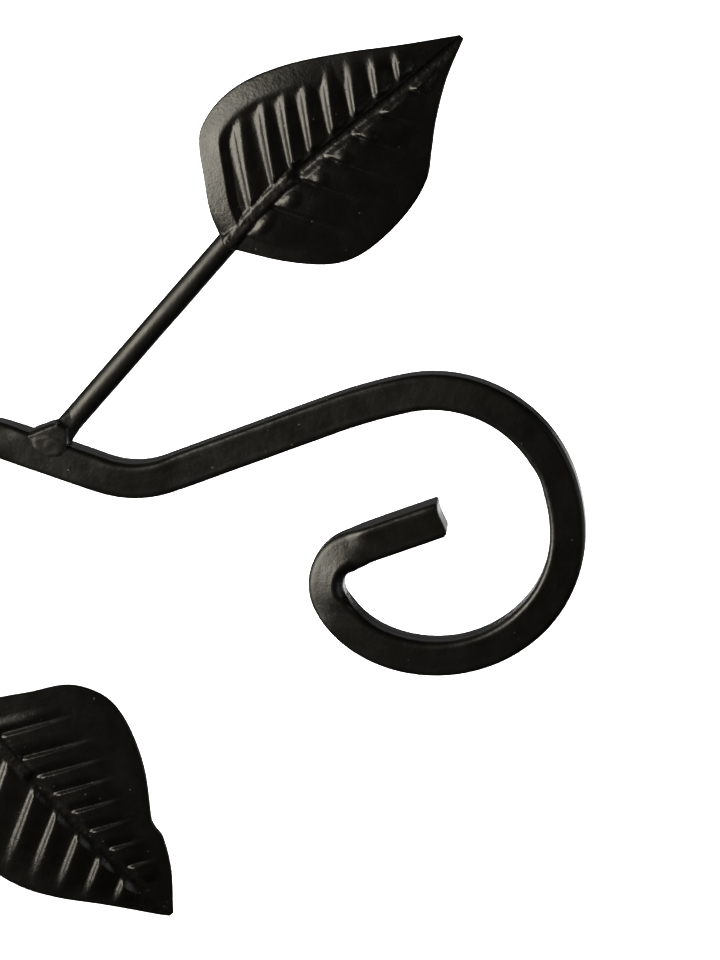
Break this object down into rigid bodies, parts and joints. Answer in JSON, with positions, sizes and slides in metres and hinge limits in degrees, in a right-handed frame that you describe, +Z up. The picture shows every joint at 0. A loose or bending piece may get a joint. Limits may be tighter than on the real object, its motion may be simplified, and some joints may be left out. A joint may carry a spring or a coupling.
{
  "type": "plant hanger bracket",
  "caption": "Wall bracket for a hanging plant pot: a square iron bar with a dip for the hook and a scrolled end, held by a curved brace, with stamped leaves on round stems.",
  "frame": {"origin": "middle of the wall plate's back face, on the wall", "axes": "+X out from the wall along the arm, +Z up, -Y the front that shows the leaves' faces"},
  "size_m": [0.3, 0.025, 0.2967],
  "materials": {
    "wall_plate": "satin black powder coat with fine speckle",
    "arm": "satin black powder coat, rubbed in places",
    "brace": "satin black powder coat",
    "upper_stem": "satin black powder coat over a hammered foot",
    "upper_leaf": "satin black powder coat with a fine orange-peel grain",
    "lower_stem": "satin black powder coat over a hammered foot",
    "lower_leaf": "satin black powder coat with a fine orange-peel grain"
  },
  "bodies": {
    "root": {"wall_plate": "wall_plate", "arm": "arm", "brace": "brace", "upper_stem": "upper_stem", "upper_leaf": "upper_leaf", "lower_stem": "lower_stem", "lower_leaf": "lower_leaf"}
  },
  "joints": []
}
